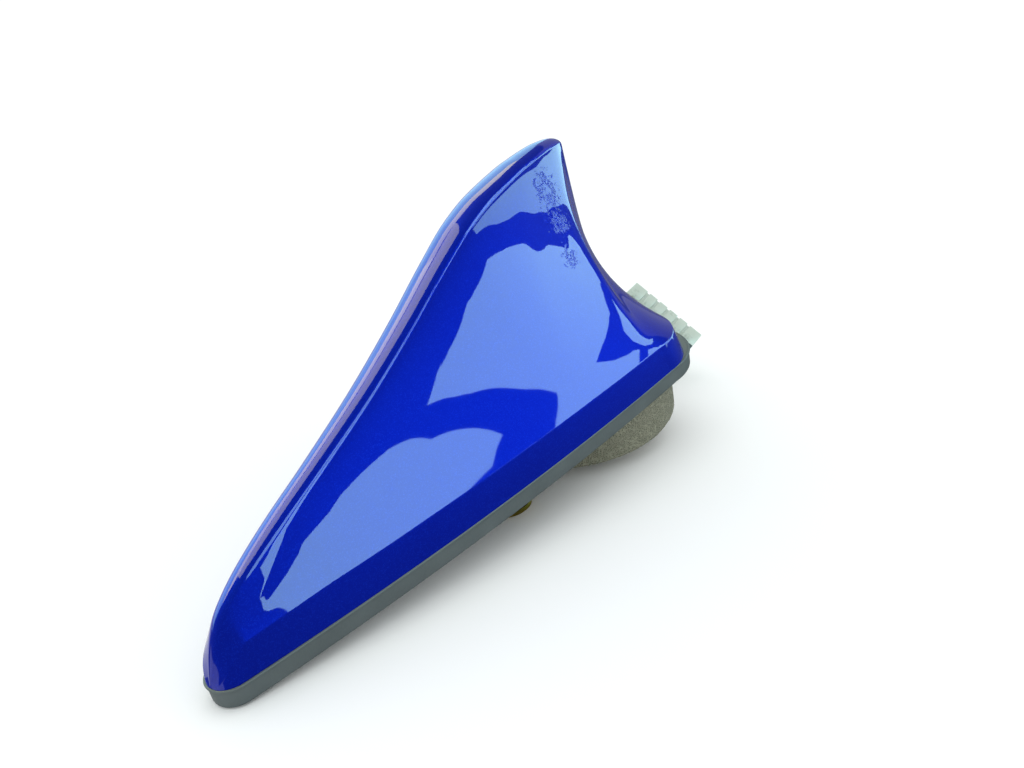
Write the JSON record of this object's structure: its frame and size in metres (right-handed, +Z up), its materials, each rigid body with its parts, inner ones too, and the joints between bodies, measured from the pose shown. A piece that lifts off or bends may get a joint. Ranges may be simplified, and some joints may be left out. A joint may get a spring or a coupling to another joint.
{
  "type": "car roof fin antenna",
  "caption": "Painted fin-shaped roof antenna: hollow cover on a rubber gasket and die-cast base, radio parts inside, foam pad, retaining claw and a short cable with a plug.",
  "frame": {"origin": "on the axis of the roof bolt, at the gasket's underside where the roof sheet lies", "axes": "+Z up away from the roof, -X towards the nose and the front of the car, +X towards the tail"},
  "size_m": [0.192, 0.073, 0.0866],
  "materials": {
    "blue_paint": "metallic gloss paint on moulded plastic",
    "gasket_rubber": "matte",
    "die_cast": "as cast",
    "zinc_steel": "zinc plated",
    "yellow_zinc": "yellow zinc plate on spring steel",
    "board": "solder mask",
    "tin_plate": "tin plated",
    "patch_ceramic": "fired ceramic",
    "black_plastic": "moulded",
    "copper_wire": "enamelled copper",
    "foam": "open-cell foam",
    "cable_jacket": "matte jacket",
    "natural_nylon": "natural moulded nylon"
  },
  "bodies": {
    "root": {"fin_cover": "blue_paint", "rubber_gasket": "gasket_rubber", "base_plate": "die_cast", "cover_screws": "zinc_steel", "board_screws": "zinc_steel", "boss_seal": "gasket_rubber", "retaining_claw": "yellow_zinc", "main_board": "board", "shield_can": "tin_plate", "gnss_patch": "patch_ceramic", "gnss_feed_pin": "tin_plate", "element_carrier": "black_plastic", "top_load_plate": "tin_plate", "loading_coil": "copper_wire", "element_contact": "copper_wire", "cellular_board": "board", "amplifier_chips": "black_plastic", "cable_boot": "gasket_rubber", "foam_pad": "foam", "pigtail": "cable_jacket", "connector_housing": "natural_nylon", "connector_retainer": "black_plastic", "connector_contacts": "tin_plate"}
  },
  "joints": []
}
